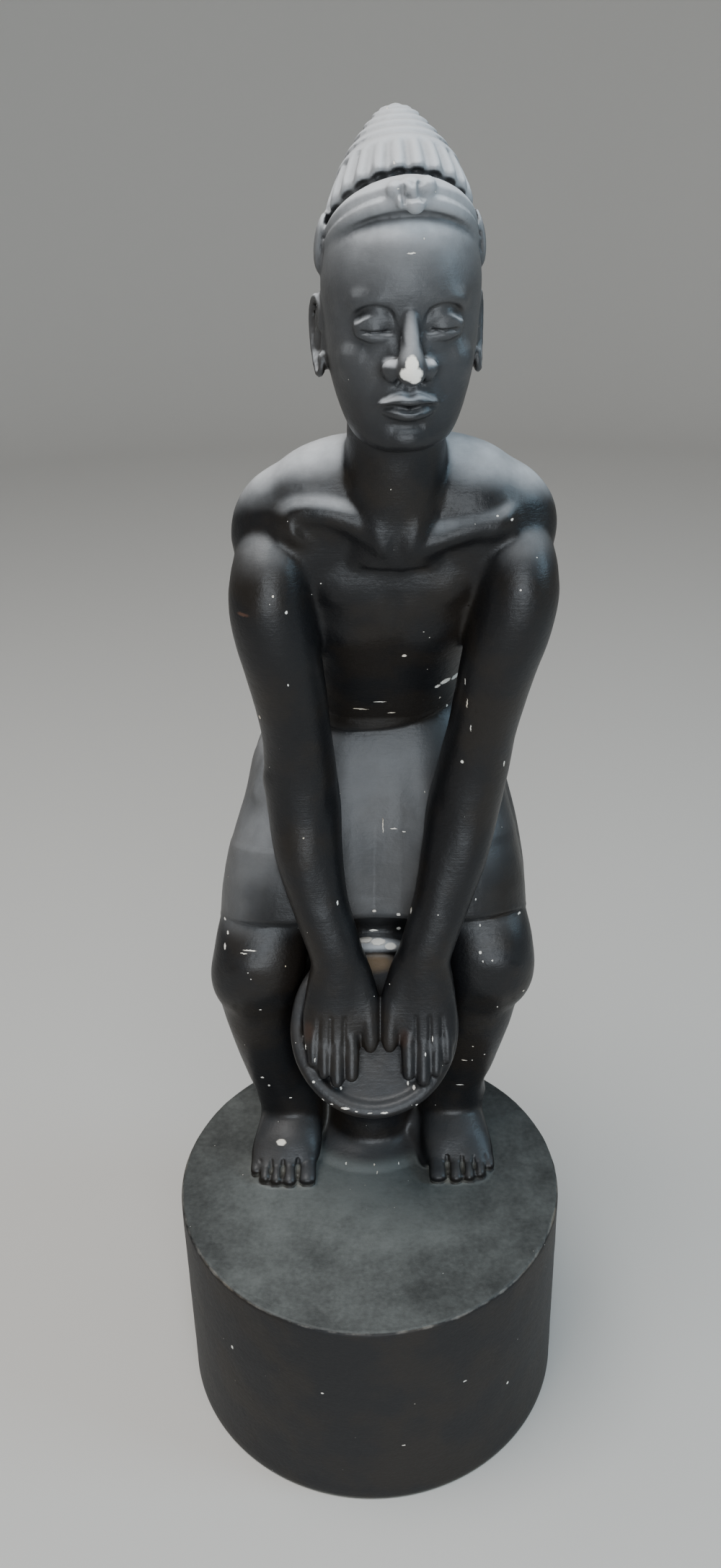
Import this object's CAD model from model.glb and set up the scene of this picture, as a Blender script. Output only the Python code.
from math import atan2, cos, degrees, exp, pi, radians, sin

import bmesh
import bpy
import numpy as np
from mathutils import Matrix, Vector, noise


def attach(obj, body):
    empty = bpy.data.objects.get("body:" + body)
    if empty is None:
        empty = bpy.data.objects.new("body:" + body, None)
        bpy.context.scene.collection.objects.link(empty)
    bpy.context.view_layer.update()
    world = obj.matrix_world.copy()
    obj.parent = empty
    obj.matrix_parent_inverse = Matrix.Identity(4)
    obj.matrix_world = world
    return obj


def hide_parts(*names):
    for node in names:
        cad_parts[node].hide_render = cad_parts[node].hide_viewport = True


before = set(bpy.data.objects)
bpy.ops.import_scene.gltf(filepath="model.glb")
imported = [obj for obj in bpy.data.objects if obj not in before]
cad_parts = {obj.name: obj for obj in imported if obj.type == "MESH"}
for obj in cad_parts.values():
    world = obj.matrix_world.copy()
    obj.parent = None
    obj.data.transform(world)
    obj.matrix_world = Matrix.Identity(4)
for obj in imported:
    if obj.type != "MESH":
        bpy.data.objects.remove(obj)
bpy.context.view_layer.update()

# Legs and feet of a drummer who stands with bent knees on a round plinth. All is one plaster
# casting, so shapes are gathered in two forms, soft flesh and crisp carved, and cast further down.
# In millimetres from the middle of the plinth's top, and x = 0 is the figure's middle plane.
ANKLE = 20
KNEE = 124
HIP = 226
FOOT_OUT = 43
KNEE_OUT = 53
LEFT_SHIN_OUT = 3.2

FRONT = Vector((0, -1, 0))
BACK = Vector((0, 1, 0))
TOP = Vector((0, 0, 1))

flesh = bmesh.new()
carved = bmesh.new()
tool_marks = []


def join(form, piece):
    """Lay a piece into a form."""
    mesh = bpy.data.meshes.new("piece")
    piece.to_mesh(mesh)
    piece.free()
    form.from_mesh(mesh)
    bpy.data.meshes.remove(mesh)


def along(rows, t):
    """Return smooth values between rows of numbers, at t from 0 to 1."""
    place = t * (len(rows) - 1)
    start = min(int(place), len(rows) - 2)
    u = place - start
    near = [rows[min(max(start + step, 0), len(rows) - 1)] for step in (-1, 0, 1, 2)]
    return [0.5 * (2 * b + (c - a) * u + (2 * a - 5 * b + 4 * c - d) * u * u
                   + (3 * b - a - 3 * c + d) * u ** 3) for a, b, c, d in zip(*near)]


def skin(form, sections, sides=28, steps=5, square=1.0, dip_width=26.0, ribs=0, rib_depth=0.0,
         lift=None):
    """Draw a closed skin through sections: x, y, z, half width, half depth, tilt, dip of its front.

    With a tilt the sections are as wide as X; a limb's sections stand square to its line instead.
    Lift works out how far each place is raised, from its x and how far along the skin it lies.
    """
    piece = bmesh.new()
    corner = piece.verts.layers.int.new("corner")
    limb = len(sections[0]) == 5
    full = [[*s, 0, 0][:7] for s in sections]
    ring = bmesh.ops.create_circle(piece, cap_ends=True, segments=sides, radius=1)["verts"]
    for number, vert in enumerate(ring):
        vert[corner] = number
    edges = list({edge for vert in ring for edge in vert.link_edges})
    rings = steps * (len(sections) - 1)
    for step in range(rings + 1):
        if step:
            grown = bmesh.ops.extrude_edge_only(piece, edges=edges)["geom"]
            ring = [part for part in grown if isinstance(part, bmesh.types.BMVert)]
            edges = [part for part in grown if isinstance(part, bmesh.types.BMEdge)]
        t = step / rings
        x, y, z, wide, deep, tilt, dip = along(full, t)
        across = Vector((1, 0, 0))
        inward = Vector((0, cos(radians(tilt)), -sin(radians(tilt))))
        if limb:
            ahead = Vector(along(full, min(t + 0.01, 1))[:3])
            line = (ahead - Vector(along(full, max(t - 0.01, 0))[:3])).normalized()
            if abs(line.x) > 0.8:
                across = Vector((0, 1, 0))
            across = (across - line * across.dot(line)).normalized()
            inward = line.cross(across)
        for vert in ring:
            angle = 2 * pi * vert[corner] / sides
            swell = 1 - rib_depth * abs(cos(ribs * angle / 2)) ** 3 if ribs else 1
            side = max(wide, 0.05) * np.sign(cos(angle)) * abs(cos(angle)) ** square * swell
            back = max(deep, 0.05) * np.sign(sin(angle)) * abs(sin(angle)) ** square * swell
            if sin(angle) < 0:
                back += dip * exp(-(side / dip_width) ** 2)
            vert.co = Vector((x, y, z)) + across * side + inward * back
            if lift:
                vert.co.z += lift(vert.co.x, t if sin(angle) < 0 else 0)
    bmesh.ops.contextual_create(piece, geom=edges)
    join(form, piece)


def ball(form, place, size, lean=0.0, turn=0.0):
    """Add an egg of plaster, leaning about X and turned about Z."""
    shape = Matrix.Rotation(radians(turn), 4, "Z") @ Matrix.Rotation(radians(lean), 4, "X")
    shape = Matrix.Translation(place) @ shape @ Matrix.Diagonal((*size, 1))
    egg = bmesh.new()
    bmesh.ops.create_icosphere(egg, subdivisions=3, radius=1, matrix=shape)
    join(form, egg)


def both(sections):
    """Give the sections of a left and a right piece."""
    return [sections, [[-row[0], *row[1:]] for row in sections]]


def mark(path, width, depth, facing=FRONT, reach=5.0, pair=False, taper=True):
    """Note a stroke of the carving tool, cut along a path once the form is cast.

    The stroke is laid on the surface that faces the tool, no further than reach from the path.
    A negative depth raises a ridge.
    """
    for side in ((1, -1) if pair else (1,)):
        flip = Vector((side, 1, 1))
        points = [Vector(point) * flip for point in path]
        tool_marks.append((points, width, depth, facing * flip, reach, taper))


for line in both([
    [30, 52, HIP - 16, 24, 24],
    [41, 34, KNEE + 44, 21, 22],
    [50, 15, KNEE + 20, 21.4, 19.4],
    [KNEE_OUT - 0.4, 9.8, KNEE + 6, 22, 19.2],
    [KNEE_OUT + 0.4, 10, KNEE - 6, 21.8, 18.4],
    [51.6, 14.4, KNEE - 18, 18.8, 16.8],
    [50.5, 19, KNEE - 34, 17.4, 18.8],
    [49, 22.5, KNEE - 50, 16, 18.4],
    [46.5, 25.5, KNEE - 68, 14.8, 16],
    [FOOT_OUT, 29, ANKLE + 22, 15.4, 14.4],
    [41.5, 32, ANKLE + 4, 17, 15.4],
    [41, 33, ANKLE - 8, 17, 15.4],
    [41, 34, -2, 15.6, 14],
]):
    for row in line:
        if row[0] < 0 and ANKLE + 20 < row[2] < KNEE:
            row[0] -= LEFT_SHIN_OUT * (0.4 if row[2] > KNEE - 10 else 1)
    skin(flesh, line, square=0.9)
for side in (1, -1):
    ball(flesh, (side * 54, -2.4, KNEE + 2), (16, 6.6, 15), lean=16)
    ball(flesh, (side * 55.4, 30, ANKLE + 8), (4.4, 5, 5.5))
    ball(flesh, (side * 28, 29, ANKLE + 10), (4, 5, 5.5))
    mark([(side * 42, -8, KNEE - 12), (side * 54, -10, KNEE - 15), (side * 66, -7, KNEE - 12)],
         5, 0.7, reach=16)

TOES = [(33, -9.2, 4.7), (41.8, -9.8, 3.7), (48.3, -9, 3.1), (54, -7, 3.0), (59.2, -1.8, 2.8)]
for line in both([
    [40, 51, 6, 5, 5],
    [40, 47, 8, 12, 9],
    [41, 36, 11, 16, 13],
    [42, 24, 12, 16.8, 13.5],
    [43, 14, 9.8, 17.8, 11],
    [44.5, 7, 6.6, 17.8, 7.8],
    [45.2, 2.4, 4.8, 16.6, 5.6],
    [45, -0.6, 3.4, 14.6, 3.6],
]):
    skin(flesh, line)
for line in both([
    [46, 12, 0.4, 14.5, 2.6],
    [46, 2, 0.2, 14.8, 2.4],
    [45, -4, 0, 12.4, 2],
    [44.5, -7.6, 0, 8, 1.2],
]):
    skin(carved, line)
for x, tip, wide in TOES:
    for line in both([
        [x * 0.96 + 1.6, tip + 21, 5, wide, 4.8],
        [x, tip + 13, 4.6, wide, 4.8],
        [x, tip + 8, 3.8, wide * 0.97, 4.2],
        [x, tip + 4.4, 3.2, wide * 1.0, 4.0],
        [x, tip + 1.8, 2.8, wide * 0.94, 3.4],
        [x, tip + 0.5, 2.4, wide * 0.7, 2.5],
        [x, tip, 2.2, wide * 0.3, 1.2],
    ]):
        skin(carved, line, sides=18)
for (x, tip, wide), (beside, end, thin) in zip(TOES, TOES[1:]):
    gap = (x + wide + beside - thin) / 2
    mark([(gap, max(tip, end) + 2, 5), (gap - 0.1, max(tip, end) + 7, 6),
          (gap - 0.3, max(tip, end) + 11, 7)], 0.8, 0.9, facing=TOP, reach=4, pair=True)

# Wrapped skirt from the waist to the knees, modelled as thick cloth drawn tight over the lap. Its
# hem stands clear of the legs, and its top is rolled. It is part of the same plaster casting.
HEM = 141
WAIST = 252
WAIST_WIDE = 32
HIP_WIDE = 54
HEM_WIDE = 71.5
WAIST_SLANT = 0.12
HEM_DROPS = [(-68, 2.6), (-52, 4.0), (-36, 5.4), (-10, 1.6), (16, 2.4), (41, 4.6), (54, 2.2),
             (68, -1.4)]


def hang(x, t):
    """Lift of the skirt: its top slants up to one side, its hem hangs in shallow waves."""
    drop = np.interp(x, *zip(*HEM_DROPS)) if t else 0
    return WAIST_SLANT * x * (1 - t) ** 3 * (t < 0.5) - drop * t ** 3


skin(carved, [
    [0, 45, WAIST + 2, WAIST_WIDE - 1, 24, -18, 0],
    [0, 46, WAIST - 6, WAIST_WIDE + 2.4, 26, -14, 0],
    [0, 48.5, WAIST - 13, WAIST_WIDE + 9, 31, -9, 1],
    [0, 50, HIP, HIP_WIDE, 37, -4, 3],
    [0, 43, HIP - 25, 59.6, 41, 8, 9],
    [0, 36, HIP - 47, 66, 44, 18, 14],
    [0, 31, HEM + 18, 70, 46, 25, 18],
    [0, 29, HEM + 4, HEM_WIDE, 47, 28, 18],
    [0, 29, HEM + 1.6, HEM_WIDE + 0.5, 47.4, 28, 18],
    [0, 29.4, HEM + 0.4, HEM_WIDE - 0.4, 46.4, 28, 17.6],
    [0, 29.6, HEM, HEM_WIDE - 2.2, 44.4, 28, 17],
], sides=72, steps=6, square=0.72, lift=hang)
skin(carved, [
    [0, 44, WAIST + 10, WAIST_WIDE - 2, 22, -18],
    [0, 44, WAIST + 9, WAIST_WIDE + 2.0, 27.2, -18],
    [0, 44.5, WAIST + 6, WAIST_WIDE + 4.0, 29.2, -18],
    [0, 45, WAIST, WAIST_WIDE + 5.0, 29.8, -18],
    [0, 45.5, WAIST - 4, WAIST_WIDE + 4.2, 28.8, -18],
    [0, 46, WAIST - 5.4, WAIST_WIDE - 1, 22, -18],
], sides=48, steps=4, lift=lambda x, t: 1 + WAIST_SLANT * x)
mark([(-50, 10, 237), (-56, 4, 219), (-60, 2, 206)], 2.4, 1.8, reach=30)
mark([(-46, 10, 238), (-51, 4, 219), (-55, 2, 204)], 2.4, -1.0, reach=30)
mark([(6, 10, 234), (9, 2, 216), (11, -4, 196)], 5.0, 0.35, reach=20)
mark([(-20, 8, 232), (-22, 0, 205), (-24, -10, 170)], 7.0, 0.8, reach=24)
mark([(26, 8, 230), (31, -2, 200), (34, -12, 165)], 7.0, 0.9, reach=24)
for height in (150, 180, 212):
    mark([(46, 60, height), (0, 76, height + 4), (-46, 60, height)], 9.0, -0.7, facing=BACK,
         reach=30)
mark([(0, 80, 232), (0, 78, 200), (0, 74, 160)], 6.0, 1.4, facing=BACK, reach=24)

# Torso, bare and leaning forward from the hips, with the shoulders drawn up round the neck.
# Collarbones stand out in a wide V; the back is plainer, with a furrow between the blades.
ARMPIT = 314
SHOULDER = 334

skin(flesh, [
    [0, 52, WAIST - 26, WAIST_WIDE, 26, -12],
    [0, 42, WAIST, WAIST_WIDE + 1, 25, -22],
    [0, 27, WAIST + 22, 38, 25, -30],
    [0, 12, ARMPIT - 19, 39, 26, -34],
    [0, 0, ARMPIT, 41, 28, -36],
    [0, -7, SHOULDER - 3, 42, 27, -38],
    [0, -12, SHOULDER + 9, 36, 22, -40],
    [0, -16, SHOULDER + 18, 22, 14, -40],
], sides=48, square=0.9)
for line in both([
    [-2, -15, SHOULDER + 15, 16, 21],
    [8, -15, SHOULDER + 16, 16.6, 22],
    [17, -15, SHOULDER + 16.6, 17.5, 22],
    [28, -17, SHOULDER + 13, 17, 21.8],
    [36, -18, SHOULDER + 8, 13, 18],
    [41, -18, SHOULDER + 3, 8, 11],
]):
    skin(flesh, line)
# x of each collarbone's sections, and their height over the shoulder line
COLLARBONES = [
    [(0.5, -3), (-8, 6), (-18, 13), (-28, 15.4), (-37, 14), (-44, 8)],
    [(-0.5, -3), (9, 2.2), (19, 6), (29, 8.6), (38, 9), (45, 4)],
]
BONE_DEPTHS = [-30.4, -31.8, -32, -31, -28.4, -23]
BONE_WIDTHS = [5.6, 5.4, 5.2, 5.2, 5.2, 3.4]
for bone in COLLARBONES:
    skin(flesh, [[x, y, SHOULDER + up, wide, wide]
                 for (x, up), y, wide in zip(bone, BONE_DEPTHS, BONE_WIDTHS)], sides=20)
ball(flesh, (0, -4, SHOULDER + 12), (38, 14, 16))
for side in (1, -1):
    ball(flesh, (side * 30, -12, SHOULDER + 2), (31, 19, 30), lean=12)
    ball(flesh, (side * 15, -21.4, SHOULDER - 12), (17, 8, 14))
    ball(flesh, (side * 20, 11, SHOULDER - 10), (15, 8, 20), lean=28)
mark([(0, -28, SHOULDER - 14), (0, -18, SHOULDER - 34), (0, 4, SHOULDER - 62)], 3.2, 0.7, reach=24)
mark([(4, -16, SHOULDER - 30), (16, -15, SHOULDER - 32), (28, -20, SHOULDER - 25)], 6, 0.7,
     reach=24, pair=True)
mark([(0, 12, SHOULDER + 10), (0, 24, SHOULDER - 12), (0, 42, SHOULDER - 40),
      (0, 56, SHOULDER - 64)], 4.6, 1.2, facing=BACK, reach=40)

# Arms: both come down from broad round shoulders, elbows a little back, and meet on the drum.
# The hands lie flat on it side by side, fingers down its slope and the thumbs turned inward.
WRIST = 144
ELBOW = 234
SHOULDER_OUT = 46
HANDS_SHIFT = 2.6
DRUM_SLOPE = 52
DRUM_HEAD = (0, -17, 108)


def eased(value, low, high):
    """Go smoothly from 0 at low to 1 at high."""
    t = np.clip((value - low) / (high - low), 0, 1)
    return t * t * (3 - 2 * t)


def on_head(x, down, above):
    """A place on the drum's sloping head: across it, down from its middle, and above it."""
    slope = radians(DRUM_SLOPE)
    return (x, DRUM_HEAD[1] - down * cos(slope) - above * sin(slope),
            DRUM_HEAD[2] - down * sin(slope) + above * cos(slope))


HEAD_FACING = Vector((0, -sin(radians(DRUM_SLOPE)), cos(radians(DRUM_SLOPE))))

for side in (1, -1):
    arm = [
        [SHOULDER_OUT - 3, -18, SHOULDER + 5, 10, 10],
        [SHOULDER_OUT - 1.4, -20, SHOULDER - 3, 13.4, 14],
        [SHOULDER_OUT - 0.2, -22.4, SHOULDER - 12, 15, 16],
        [SHOULDER_OUT, -23, ARMPIT - 2, 15.6, 16.4],
        [44, -21.5, ARMPIT - 15, 15.8, 15.6],
        [41.8, -18.5, ARMPIT - 27, 15.4, 15],
        [39.8, -14, ARMPIT - 42, 14.8, 14.4],
        [37.6, -8.5, ARMPIT - 61, 14.2, 14.2],
        [36, -4, ELBOW, 15.2, 15],
        [33.6, -3, ELBOW - 20, 15.8, 15.5],
        [31.4, -7, ELBOW - 39, 14.8, 14],
        [26.8, -11, WRIST + 29, 12.8, 11.8],
        [22.2, -14, WRIST + 13, 12.2, 10.4],
        [19.4, -15.6, WRIST + 2, 12, 9.4],
        [18.4, -16.4, WRIST - 8, 10.4, 7.4],
        [18.2, -17, WRIST - 14, 5, 4],
    ]
    for row in arm:
        row[0] = side * row[0] + (1 - eased(row[2], ELBOW, ARMPIT)) * HANDS_SHIFT
    skin(flesh, arm, sides=32)
    ball(flesh, (side * 36.4 + 2.4, 5.6, ELBOW - 3), (7, 6, 9))

FINGERS = [(12.8, 24, 3.5), (19.3, 26.4, 3.4), (25.1, 22.4, 3.1), (30.2, 16.6, 2.8)]
HANDS_MIDDLE = 2.4


def placed(side, rows):
    """Lay rows of x, down, above and sizes on the drum's head, for one side's hand."""
    laid = []
    for x, down, above, *size in rows:
        middle = HANDS_SHIFT + (HANDS_MIDDLE - HANDS_SHIFT) * eased(down, -34, -5)
        laid.append([*on_head(side * x + middle, down, above), *size])
    return laid


for side in (1, -1):
    skin(flesh, placed(side, [
        [20.5, -38, 27, 8, 7],
        [19.6, -30, 22, 11, 8.6],
        [19.6, -22, 16.5, 13, 8.6],
        [20, -12, 10.6, 14.4, 7.6],
        [20.8, -3, 6.8, 14.8, 6.4],
        [21.2, 6, 4.4, 14, 4.8],
        [20.6, 14, 2.8, 12, 4],
        [19.4, 20, 1.6, 9, 2.8],
    ]))
    for x, tip, wide in FINGERS:
        root = 20.6 + (x - 20.6) * 0.86
        skin(carved, placed(side, [
            [root, -9, 9, wide * 0.9, 3.6],
            [(root + x) / 2, -1, 7, wide, 3.8],
            [x, tip * 0.36, 5.2, wide * 0.98, 3.6],
            [x, tip * 0.52, 4.5, wide * 1.04, 3.7],
            [x, tip * 0.76, 3.5, wide * 0.96, 3.4],
            [x, tip * 0.92, 2.8, wide * 0.84, 3.0],
            [x, tip * 0.98, 2.4, wide * 0.56, 2.2],
            [x, tip, 2.2, wide * 0.3, 1.2],
        ]), sides=20)
    skin(flesh, placed(side, [
        [14, -32, 22, 7, 7],
        [10.6, -23, 16.4, 7.4, 7],
        [8.4, -14, 11.6, 7.4, 6.4],
        [7.4, -6, 8.4, 6.6, 5.4],
        [7, 1, 6, 5, 4],
    ]))
    skin(carved, placed(side, [
        [8.6, -19, 14, 6.4, 6],
        [6.4, -11, 10.4, 6.4, 5.6],
        [5.2, -4, 8, 5.2, 5],
        [4.6, 2, 6.2, 4.5, 4.2],
        [4.4, 7, 4.8, 3.9, 3.5],
        [4.4, 10, 3.8, 2.9, 2.6],
        [4.4, 11.6, 3.2, 1.4, 1.4],
    ]), sides=20)
    for (x, tip, _), (beside, end, _) in zip(FINGERS, FINGERS[1:]):
        gap = (x + beside) / 2
        groove = [[gap - 0.4, -5, 11], [gap, 1, 9], [gap, min(tip, end) * 0.4, 7.5]]
        mark(placed(side, groove), 0.9, 0.7, facing=HEAD_FACING)

# Neck and head. The face is calm and on plain thirds, brow to foot of nose to chin, with broad
# modelled lids, nose and lips. The head turns a little on the neck once the figure is cast.
CHIN = 375
EYES = 414
HAIRLINE = 446
NECK_WIDE = 18
HEAD_WIDE = 26
HEAD_TURN = 4
NECK_LINE = -30

skin(flesh, [
    [0, -17, SHOULDER + 2, NECK_WIDE + 6, 20, -30],
    [0, -22, SHOULDER + 18, NECK_WIDE + 1, 18, -20],
    [0, -27, SHOULDER + 34, NECK_WIDE - 0.5, 17, -10],
    [0, -30, SHOULDER + 52, NECK_WIDE - 1, 16, 0],
    [0, -31, SHOULDER + 64, NECK_WIDE - 6, 11, 0],
])
ball(flesh, (0, -17, EYES - 5), (17, 15, 16))
for line in both([
    [13, -25, SHOULDER + 42, 3.4, 3.4],
    [10.5, -31, SHOULDER + 24, 4.4, 4.4],
    [6, -35.5, SHOULDER + 8, 4, 4],
    [4, -35.5, SHOULDER, 3, 3],
]):
    skin(flesh, line, sides=16)
skin(flesh, [
    [0, -46, CHIN - 1.4, 7, 8, 0],
    [0, -46, CHIN + 2, 13.5, 15, 0],
    [0, -44, CHIN + 6, 17.2, 17.8, 0],
    [0, -41, CHIN + 13, 20.6, 21.2, 0],
    [0, -38, CHIN + 24, 23.8, 25, 0],
    [0, -35, EYES, HEAD_WIDE - 0.6, 28, 0],
    [0, -33.5, EYES + 9, HEAD_WIDE, 31.2, 0],
    [0, -32.5, EYES + 18, HEAD_WIDE - 0.8, 31.6, 0],
    [0, -31.4, EYES + 26, HEAD_WIDE - 3, 30, 0],
    [0, -30, HAIRLINE - 1, 19.6, 26, 0],
    [0, -29, HAIRLINE + 6, 11.6, 16, 0],
], sides=48, square=0.94)
MOUTH = CHIN + 15
ball(flesh, (0, -57.6, CHIN + 5), (8, 5.6, 5.4))
ball(flesh, (0, -54.6, MOUTH + 1), (13, 9.6, 8.6))
for side in (1, -1):
    ball(flesh, (side * 13.6, -52.8, EYES - 11), (9, 7.2, 8), turn=side * 20)
    ball(flesh, (side * 10.5, -58.6, EYES + 7), (9.6, 5.2, 3.8), turn=side * 16)

skin(carved, [
    [0, -60, EYES + 7, 3.4, 2.6],
    [0, -62.8, EYES + 1, 2.9, 3],
    [0, -65.8, EYES - 6, 3.5, 3.8],
    [0, -68, EYES - 11, 4.6, 4.4],
    [0, -68, EYES - 13.4, 4.7, 4.2],
    [0, -66.4, EYES - 15.6, 3.6, 2.6],
], sides=24)
for side in (1, -1):
    ball(carved, (side * 5.3, -63.8, EYES - 12.8), (3.8, 4.8, 3.5), lean=-20)
    ball(carved, (side * 10.8, -58.2, EYES - 0.6), (6.6, 5.4, 4.9), turn=side * 12)
skin(carved, [
    [-10.4, -59.4, MOUTH - 0.2, 0.7, 0.6],
    [-7, -62.2, MOUTH + 1.1, 2.2, 1.4],
    [-3, -64.2, MOUTH + 2.2, 2.9, 2.1],
    [-1, -64.6, MOUTH + 2.1, 3.0, 1.9],
    [1, -64.6, MOUTH + 2.1, 3.0, 1.9],
    [3, -64.2, MOUTH + 2.2, 2.9, 2.1],
    [7, -62.2, MOUTH + 1.1, 2.2, 1.4],
    [10.4, -59.4, MOUTH - 0.2, 0.7, 0.6],
], sides=18)
skin(carved, [
    [-9.6, -59.4, MOUTH - 0.4, 0.7, 0.6],
    [-6, -61.8, MOUTH - 1.5, 2.2, 1.7],
    [-2, -63.4, MOUTH - 2.2, 3.0, 2.3],
    [2, -63.4, MOUTH - 2.2, 3.0, 2.3],
    [6, -61.8, MOUTH - 1.5, 2.2, 1.7],
    [9.6, -59.4, MOUTH - 0.4, 0.7, 0.6],
], sides=18)

EYE = EYES - 0.6
FACE = -62
mark([(3.6, FACE, EYE + 1.5), (7, FACE, EYE + 0.6), (12, FACE, EYE + 0.6), (17, FACE, EYE)],
     4.6, 1.3, pair=True, reach=9)
mark([(4.2, FACE, EYE - 0.6), (7.4, FACE, EYE + 2.6), (11, FACE, EYE + 3.6),
      (14.8, FACE, EYE + 2.4), (17.4, FACE, EYE - 0.6)], 0.9, -0.7, pair=True, reach=9)
mark([(4.4, FACE, EYE + 2.2), (7.2, FACE, EYE + 5), (11, FACE, EYE + 6), (15, FACE, EYE + 4.8),
      (18.0, FACE, EYE + 1.6)], 0.8, 0.8, pair=True, reach=9)
mark([(4.8, FACE, EYE - 1.4), (7.8, FACE, EYE - 3.3), (11, FACE, EYE - 3.9), (14.6, FACE, EYE - 3),
      (17, FACE, EYE - 1)], 0.8, -0.6, pair=True, reach=9)
mark([(4.8, FACE, EYE - 1.1), (7.8, FACE, EYE - 1.6), (11, FACE, EYE - 1.8),
      (14.4, FACE, EYE - 1.5), (16.8, FACE, EYE - 0.9)], 0.6, 1.0, pair=True, reach=9)
mark([(6, FACE, EYE - 6.4), (10, FACE, EYE - 8), (15, FACE, EYE - 7)], 2.0, 0.5, pair=True, reach=9)
mark([(-9.6, FACE, MOUTH - 0.2), (-4.6, FACE, MOUTH + 0.3), (0, FACE, MOUTH - 0.4),
      (4.6, FACE, MOUTH + 0.3), (9.6, FACE, MOUTH - 0.2)], 0.8, 1.3, reach=9)
mark([(0, FACE, EYES - 17.4), (0, FACE, MOUTH + 4.8)], 1.3, 0.6, reach=9, taper=False)
mark([(-6, FACE, CHIN + 9.4), (0, FACE, CHIN + 9), (6, FACE, CHIN + 9.4)], 2.0, 0.8, reach=9)
mark([(8.4, FACE, EYES - 13), (10.4, FACE, EYES - 17), (12.6, FACE, MOUTH + 1)], 1.8, 0.5,
     pair=True, reach=12)
mark([(3.2, -68, EYES - 16), (3.4, -63.5, EYES - 16)], 1.1, 1.3, facing=-TOP, pair=True,
     taper=False)
mark([(4.4, -60, CHIN - 2), (12, -54, CHIN), (18, -40, CHIN + 8)], 3.0, -0.5, facing=-TOP,
     pair=True, reach=10)

# Ears, cast with the head and flat to it. Each is a rolled rim that ends in a lobe, round a
# hollow that the tool sinks.
EAR = (26.6, -30.5, EYES - 6.5)
EAR_LEAN = 12
RIM_OF_EAR = [(-4.2, 1.2), (-4.2, 7.2), (-0.6, 11.8), (4.2, 11.4), (7, 6), (6.4, -0.6), (3.8, -6.6),
              (0.4, -11.4), (-3, -10.4), (-3.4, -5.4)]
for side in (1, -1):
    ball(carved, (side * (EAR[0] - 1.6), EAR[1] + 0.8, EAR[2]), (2.4, 5.8, 11), lean=-EAR_LEAN,
         turn=-side * 14)
    edge = []
    for back, up in RIM_OF_EAR:
        lean = radians(EAR_LEAN)
        edge.append([side * (EAR[0] + 0.24 * back), EAR[1] + back * cos(lean) + up * sin(lean),
                     EAR[2] + up * cos(lean) - back * sin(lean), 1.35, 1.35])
    skin(carved, edge, sides=14)
mark([(EAR[0], EAR[1] - 0.4, EAR[2] + 1), (EAR[0], EAR[1] + 0.4, EAR[2] - 3.6)], 1.9, 1.8,
     facing=Vector((1, 0, 0)), pair=True, taper=False)
mark([(EAR[0], EAR[1] + 1, EAR[2] + 6.4), (EAR[0], EAR[1] + 3.6, EAR[2] + 2)], 1.0, 0.8,
     facing=Vector((1, 0, 0)), pair=True)

# Headdress: a broad headband over a cord, tied in a bow, under a hood whose edge is gathered in
# ribs and stands off the band. Above it cloth is wound in turns to a blunt point, leaning back.
TIP = 474.6


def hoop(wide, front, back):
    """Give the section of a ring round the head, from the y and z of its front and its back."""
    middle = [(a + b) / 2 for a, b in zip(front, back)]
    rise = front[1] - back[1]
    run = back[0] - front[0]
    return [0, *middle, wide, (rise ** 2 + run ** 2) ** 0.5 / 2, degrees(atan2(rise, run))]


skin(flesh, [
    hoop(22.6, (-58.6, HAIRLINE), (0, 412.4)),
    hoop(22.8, (-57.4, HAIRLINE + 4.4), (0, 416.6)),
    hoop(22.2, (-51.4, HAIRLINE + 8), (-2, 420)),
    hoop(20.8, (-45, HAIRLINE + 11), (-3, 425)),
    hoop(17, (-39, HAIRLINE + 16.4), (-4, 437)),
    hoop(10, (-30, HAIRLINE + 20), (-8, 452)),
], sides=40)
skin(carved, [
    hoop(22.8, (-60.2, HAIRLINE - 0.2), (0, 413.6)),
    hoop(24.6, (-62.4, HAIRLINE + 0.4), (1.6, 414.2)),
    hoop(25.2, (-63.0, HAIRLINE + 2.2), (2.2, 416.2)),
    hoop(24.8, (-62.2, HAIRLINE + 4.0), (1.8, 418.2)),
    hoop(22.8, (-59.8, HAIRLINE + 4.6), (0, 418.8)),
], sides=64, steps=4)
skin(carved, [
    hoop(22.8, (-59.6, HAIRLINE + 3.8), (0, 416.4)),
    hoop(24.2, (-61.4, HAIRLINE + 4.6), (1.6, 417.6)),
    hoop(24.8, (-61.2, HAIRLINE + 6.6), (2.0, 419.4)),
    hoop(24.0, (-59.2, HAIRLINE + 8.6), (1.2, 421)),
    hoop(21.6, (-55.6, HAIRLINE + 9.2), (-1, 421)),
    hoop(18.0, (-50, HAIRLINE + 8.4), (-6, 421)),
], sides=64, steps=4)
RIBS = 24
skin(carved, [
    hoop(18.6, (-46.0, HAIRLINE + 10.8), (-4, 424)),
    hoop(23.2, (-50.6, HAIRLINE + 10.6), (0.4, 421)),
    hoop(24.2, (-51.6, HAIRLINE + 11.6), (1.2, 422.4)),
    hoop(23.6, (-50.2, HAIRLINE + 13.8), (1.2, 427)),
    hoop(22.0, (-46.4, HAIRLINE + 16.4), (0.6, 433)),
    hoop(20.0, (-42.0, HAIRLINE + 18.8), (-0.4, 439)),
    hoop(16.0, (-38.4, HAIRLINE + 19.4), (-4, 443)),
], sides=RIBS * 10, ribs=RIBS, rib_depth=0.06)
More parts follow.
